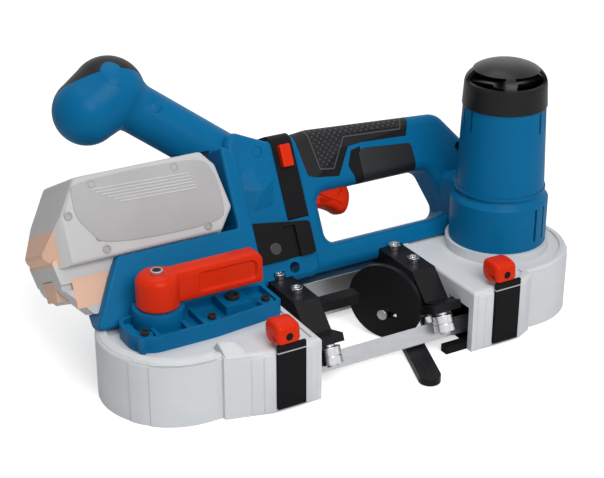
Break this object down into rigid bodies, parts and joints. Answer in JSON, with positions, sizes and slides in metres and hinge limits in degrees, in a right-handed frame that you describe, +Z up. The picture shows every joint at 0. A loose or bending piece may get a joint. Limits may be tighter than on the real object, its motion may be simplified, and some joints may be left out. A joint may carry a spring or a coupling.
{
  "type": "portable band saw",
  "caption": "Compact cordless portable band saw with a slanted handle, upright motor, tension lever, hinged covers and a slide-on battery pack.",
  "frame": {"origin": "on the drive wheel's axis, in the plane that the wheel guards rest on", "axes": "+X from the idler wheel to the drive wheel, +Y away from the user's front, +Z up"},
  "size_m": [0.4006, 0.2346, 0.2062],
  "materials": {
    "blue_plastic": "satin",
    "blue_casting": "satin",
    "guard_grey": "satin",
    "beam_silver": "satin",
    "black_plastic": "matte",
    "black_rubber": "matte",
    "black_metal": "satin",
    "red_plastic": "gloss",
    "red_metal": "gloss",
    "steel": "satin",
    "band_steel": "satin",
    "bright_steel": "gloss",
    "battery_grey": "matte",
    "battery_pad": "matte",
    "cell_green": "gloss",
    "copper_winding": "satin",
    "board_green": "matte",
    "lens": "gloss"
  },
  "bodies": {
    "frame": {"idler_guard": "guard_grey", "drive_guard": "guard_grey", "rear_beam": "beam_silver", "band": "band_steel", "guide_arm_left": "black_metal", "guide_arm_right": "black_metal", "roller_pins": "steel", "socket_screws": "bright_steel", "stop_bracket": "black_metal", "tension_casting": "blue_casting", "hinge_pins": "steel", "motor_housing": "blue_plastic", "motor_cap": "black_plastic", "stator": "copper_winding", "gear_plate": "steel", "bearings": "steel", "handle_front": "blue_plastic", "handle_rear": "blue_plastic", "upper_grip": "black_rubber", "lower_grip": "black_rubber", "knob_cap": "black_rubber", "neck_band": "black_plastic", "light_block": "black_plastic", "work_light": "lens", "handle_screws": "steel", "switch_module": "black_plastic", "control_board": "board_green", "terminal_block": "black_plastic"},
    "drive_train": {"drive_shaft": "steel", "output_gear": "steel", "drive_wheel": "steel", "drive_tyre": "black_rubber"},
    "layshaft": {"layshaft": "steel"},
    "rotor": {"rotor": "steel", "fan": "black_plastic"},
    "tension_slide": {"tension_slide": "steel", "idler_axle": "steel", "tension_springs": "steel"},
    "idler": {"idler_wheel": "steel", "idler_tyre": "black_rubber", "idler_bearing": "steel"},
    "tension_lever": {"tension_lever": "red_metal", "cam_shaft": "steel"},
    "roller_left_front": {"guide_roller_left_front": "bright_steel"},
    "roller_left_rear": {"guide_roller_left_rear": "bright_steel"},
    "roller_right_front": {"guide_roller_right_front": "bright_steel"},
    "roller_right_rear": {"guide_roller_right_rear": "bright_steel"},
    "material_stop": {"material_stop": "black_metal"},
    "latch_left": {"latch_knob_left": "red_plastic", "latch_strap_left": "black_plastic"},
    "latch_right": {"latch_knob_right": "red_plastic", "latch_strap_right": "black_plastic"},
    "idler_cover": {"idler_cover": "black_plastic"},
    "drive_cover": {"drive_cover": "black_plastic"},
    "trigger": {"trigger": "red_plastic"},
    "lock_button": {"lock_button": "red_plastic"},
    "battery": {"battery_case": "battery_grey", "battery_bumpers": "battery_pad", "battery_cells": "cell_green"},
    "battery_release": {"battery_release": "battery_pad"}
  },
  "joints": [
    {"name": "drive_spin", "type": "hinge", "parent": "frame", "child": "drive_train", "pos_m": [0, 0, 0.014], "axis": [0, 0, 1], "continuous": true},
    {"name": "layshaft_spin", "type": "hinge", "parent": "frame", "child": "layshaft", "pos_m": [-0.01273, 0.01273, 0.07], "axis": [0, 0, 1], "continuous": true},
    {"name": "rotor_spin", "type": "hinge", "parent": "frame", "child": "rotor", "pos_m": [0, 0, 0.12], "axis": [0, 0, 1], "continuous": true},
    {"name": "tension_slide", "type": "slide", "parent": "frame", "child": "tension_slide", "axis": [1, 0, 0], "range_m": [0, 0.004]},
    {"name": "idler_spin", "type": "hinge", "parent": "tension_slide", "child": "idler", "pos_m": [-0.275, 0, 0.014], "axis": [0, 0, 1], "continuous": true},
    {"name": "lever_turn", "type": "hinge", "parent": "frame", "child": "tension_lever", "pos_m": [-0.285, 0, 0.079], "axis": [0, 0, -1], "range_deg": [0, 120]},
    {"name": "roller_left_front_spin", "type": "hinge", "parent": "frame", "child": "roller_left_front", "pos_m": [-0.179, -0.05157, 0.02262], "axis": [0, 0.4226, 0.9063], "continuous": true},
    {"name": "roller_left_rear_spin", "type": "hinge", "parent": "frame", "child": "roller_left_rear", "pos_m": [-0.179, -0.03598, 0.01535], "axis": [0, 0.4226, 0.9063], "continuous": true},
    {"name": "roller_right_front_spin", "type": "hinge", "parent": "frame", "child": "roller_right_front", "pos_m": [-0.0835, -0.05157, 0.02262], "axis": [0, 0.4226, 0.9063], "continuous": true},
    {"name": "roller_right_rear_spin", "type": "hinge", "parent": "frame", "child": "roller_right_rear", "pos_m": [-0.0835, -0.03598, 0.01535], "axis": [0, 0.4226, 0.9063], "continuous": true},
    {"name": "stop_slide", "type": "slide", "parent": "frame", "child": "material_stop", "axis": [-0.5105, 0.8599, 0], "range_m": [0, 0.008]},
    {"name": "latch_left_turn", "type": "hinge", "parent": "frame", "child": "latch_left", "pos_m": [-0.2215, -0.057, 0.056], "axis": [-1, 0, 0], "range_deg": [0, 90]},
    {"name": "latch_right_turn", "type": "hinge", "parent": "frame", "child": "latch_right", "pos_m": [-0.0405, -0.055, 0.056], "axis": [-1, 0, 0], "range_deg": [0, 90]},
    {"name": "idler_cover_turn", "type": "hinge", "parent": "frame", "child": "idler_cover", "pos_m": [-0.235, 0.0475, 0.0022], "axis": [1, 0, 0], "range_deg": [0, 90]},
    {"name": "drive_cover_turn", "type": "hinge", "parent": "frame", "child": "drive_cover", "pos_m": [-0.04, 0.0475, 0.0022], "axis": [1, 0, 0], "range_deg": [0, 90]},
    {"name": "trigger_pull", "type": "slide", "parent": "frame", "child": "trigger", "axis": [0, 0.454, 0.891], "range_m": [0, 0.006], "stiffness_N_per_m": 800},
    {"name": "lock_press", "type": "slide", "parent": "frame", "child": "lock_button", "axis": [0, 0.891, -0.454], "range_m": [0, 0.003], "stiffness_N_per_m": 600},
    {"name": "battery_slide", "type": "slide", "parent": "frame", "child": "battery", "axis": [-1, 0, 0], "range_m": [0, 0.14]},
    {"name": "battery_release_press", "type": "slide", "parent": "battery", "child": "battery_release", "axis": [1, 0, 0], "range_m": [0, 0.003], "stiffness_N_per_m": 600}
  ],
  "couplings": [
    {"joint": "layshaft_spin", "follows": "drive_spin", "ratio": -4.625},
    {"joint": "rotor_spin", "follows": "drive_spin", "ratio": 21.391},
    {"joint": "idler_spin", "follows": "drive_spin", "ratio": 1},
    {"joint": "tension_slide", "follows": "lever_turn", "m_per_rad": 0.0019099},
    {"joint": "roller_left_front_spin", "follows": "drive_spin", "ratio": -5.6875},
    {"joint": "roller_left_rear_spin", "follows": "drive_spin", "ratio": 5.6875},
    {"joint": "roller_right_front_spin", "follows": "drive_spin", "ratio": -5.6875},
    {"joint": "roller_right_rear_spin", "follows": "drive_spin", "ratio": 5.6875}
  ]
}
